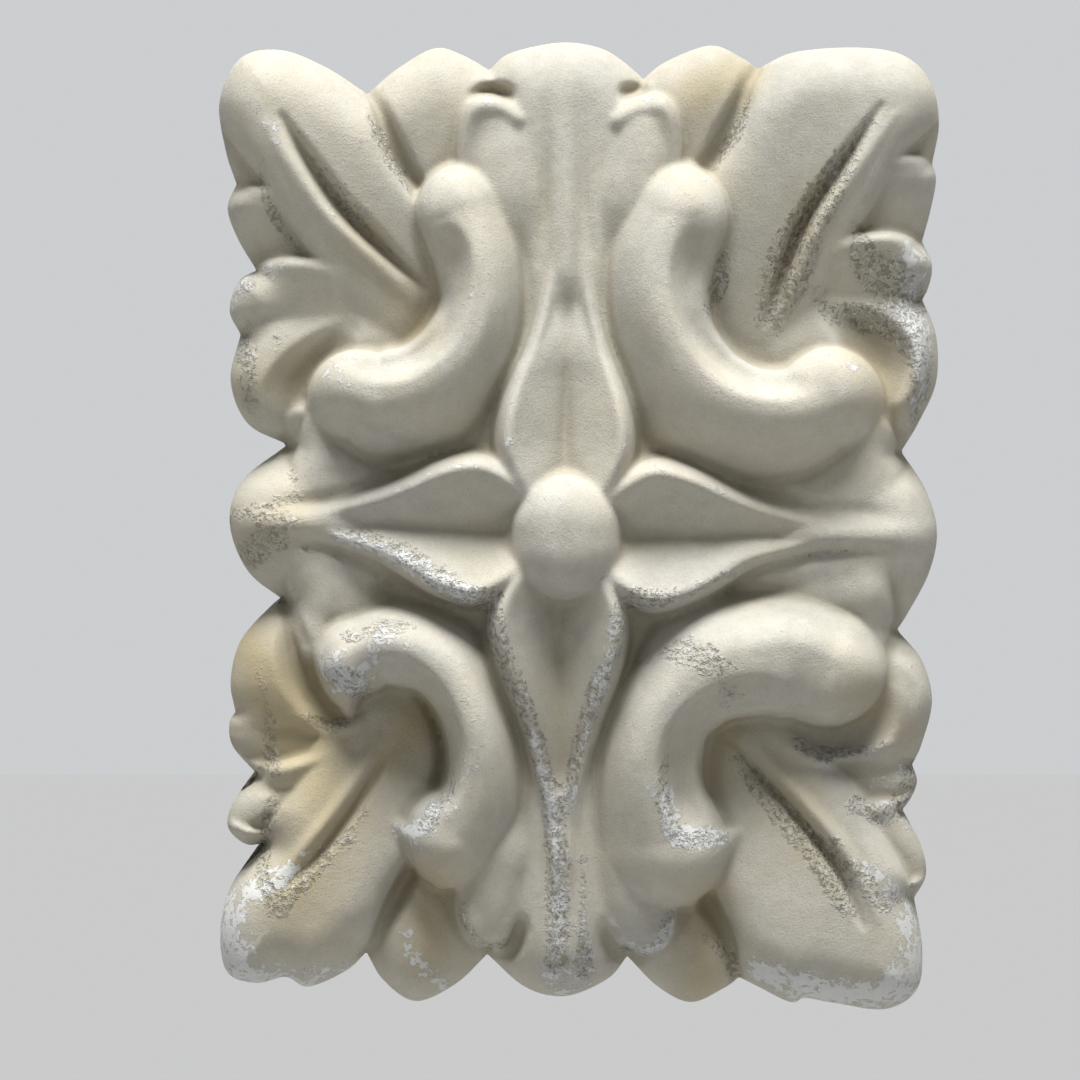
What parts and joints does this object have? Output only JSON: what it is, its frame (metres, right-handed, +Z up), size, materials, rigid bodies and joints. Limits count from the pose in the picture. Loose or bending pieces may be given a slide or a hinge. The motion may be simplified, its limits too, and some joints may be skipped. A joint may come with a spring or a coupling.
{
  "type": "gothic rosette ornament",
  "caption": "Oblong carved rosette of cast stone: petals on leaf stalks round an egg-shaped boss, C-scrolls and corner leaves, flat back for fixing to a wall.",
  "frame": {"origin": "middle of the flat back", "axes": "+Z up along the long side, +Y into the wall behind, the carved front faces -Y"},
  "size_m": [0.144, 0.036, 0.1935],
  "materials": {
    "cast_stone": "matt cream-grey cast stone, pitted, with chalky bloom on the high edges and ochre in the recesses"
  },
  "bodies": {
    "root": {"rosette": "cast_stone"}
  },
  "joints": []
}
